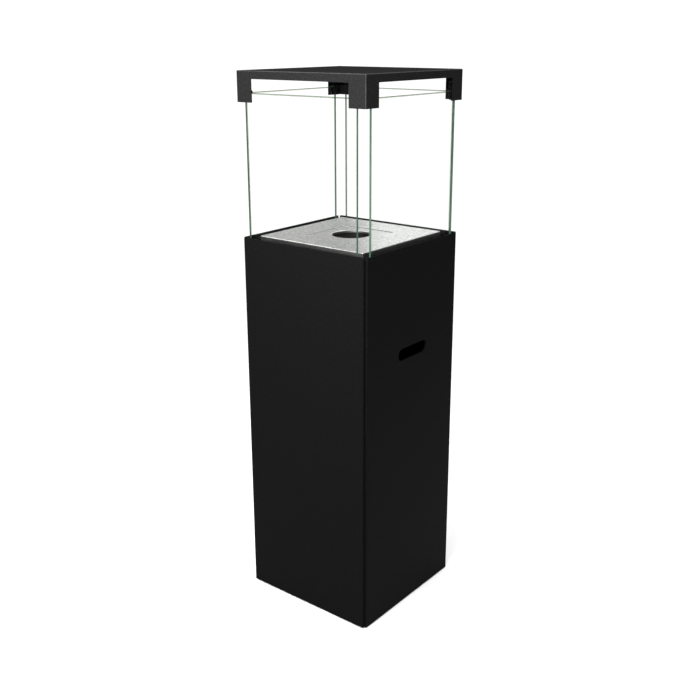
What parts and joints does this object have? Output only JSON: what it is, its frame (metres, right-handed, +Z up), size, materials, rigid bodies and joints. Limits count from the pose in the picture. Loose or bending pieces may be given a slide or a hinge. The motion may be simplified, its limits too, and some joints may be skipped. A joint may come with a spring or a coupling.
{
  "type": "outdoor gas heater",
  "caption": "Free-standing square steel column heater with a glass lantern, flat cap, stainless burner tray, hinged bottle door and rear controls.",
  "frame": {"origin": "middle of the footprint, on the ground", "axes": "+Z up, the door faces -Y, +X to its right seen from the front"},
  "size_m": [0.4, 0.4, 1.414],
  "materials": {
    "powder_black": "fine-textured satin powder coat",
    "powder_cap": "fine-textured satin powder coat",
    "inner_black": "matt powder coat",
    "stainless": "brushed stainless",
    "galvanised": "galvanised sheet",
    "zinc": "zinc plated",
    "glass": "clear toughened glass, green edges",
    "seal": "black silicone",
    "foot_rubber": "moulded rubber",
    "magnet_case": "moulded",
    "burner_iron": "heat-tinted",
    "brass": "turned",
    "ceramic": "glazed",
    "lead_sleeve": "silicone sleeve",
    "tube_aluminium": "drawn",
    "valve_alloy": "die cast",
    "knob_plastic": "moulded",
    "button_plastic": "moulded"
  },
  "bodies": {
    "heater": {"base_plate": "inner_black", "rubber_feet": "foot_rubber", "foot_screws": "zinc", "bottle_ring": "inner_black", "side_panel_left": "powder_black", "side_panel_right": "powder_black", "rear_panel": "powder_black", "rear_panel_screws": "zinc", "hinge_bracket_lower": "inner_black", "hinge_bracket_upper": "inner_black", "hinge_pins": "zinc", "door_magnet": "magnet_case", "top_frame": "inner_black", "glass_seat_front": "seal", "glass_seat_right": "seal", "glass_seat_rear": "seal", "glass_seat_left": "seal", "glass_front": "glass", "glass_right": "glass", "glass_rear": "glass", "glass_left": "glass", "cap": "powder_cap", "glass_holder_front_left": "seal", "glass_holder_front_right": "seal", "glass_holder_rear_left": "seal", "glass_holder_rear_right": "seal", "holder_nuts": "inner_black", "burner_tray": "stainless", "burner_pot": "burner_iron", "burner_head": "burner_iron", "mixing_tube": "stainless", "injector": "brass", "injector_bracket": "galvanised", "burner_shelf": "galvanised", "thermocouple": "brass", "igniter_electrode": "ceramic", "igniter_lead": "lead_sleeve", "gas_tube": "tube_aluminium", "tube_nuts": "brass", "gas_valve": "valve_alloy", "hose_tail": "brass", "piezo_body": "knob_plastic", "piezo_nut": "knob_plastic", "control_panel": "inner_black", "control_rivets": "zinc", "tilt_switch": "magnet_case"},
    "door": {"front_door": "powder_black", "door_stiffeners": "inner_black", "door_knuckles": "inner_black", "door_strike": "zinc"},
    "spindle": {"valve_spindle": "zinc"},
    "knob": {"control_knob": "knob_plastic"},
    "button": {"piezo_button": "button_plastic"}
  },
  "joints": [
    {"name": "door_hinge", "type": "hinge", "parent": "heater", "child": "door", "pos_m": [-0.1904, -0.19605, 0.5], "axis": [0, 0, -1], "range_deg": [0, 95]},
    {"name": "knob_push", "type": "slide", "parent": "heater", "child": "spindle", "axis": [0, -1, 0], "range_m": [0, 0.003], "stiffness_N_per_m": 600},
    {"name": "knob_turn", "type": "hinge", "parent": "spindle", "child": "knob", "pos_m": [-0.045, 0.166, 0.84], "axis": [0, 1, 0], "range_deg": [0, 180]},
    {"name": "igniter_press", "type": "slide", "parent": "heater", "child": "button", "axis": [0, -1, 0], "range_m": [0, 0.006], "stiffness_N_per_m": 800}
  ]
}
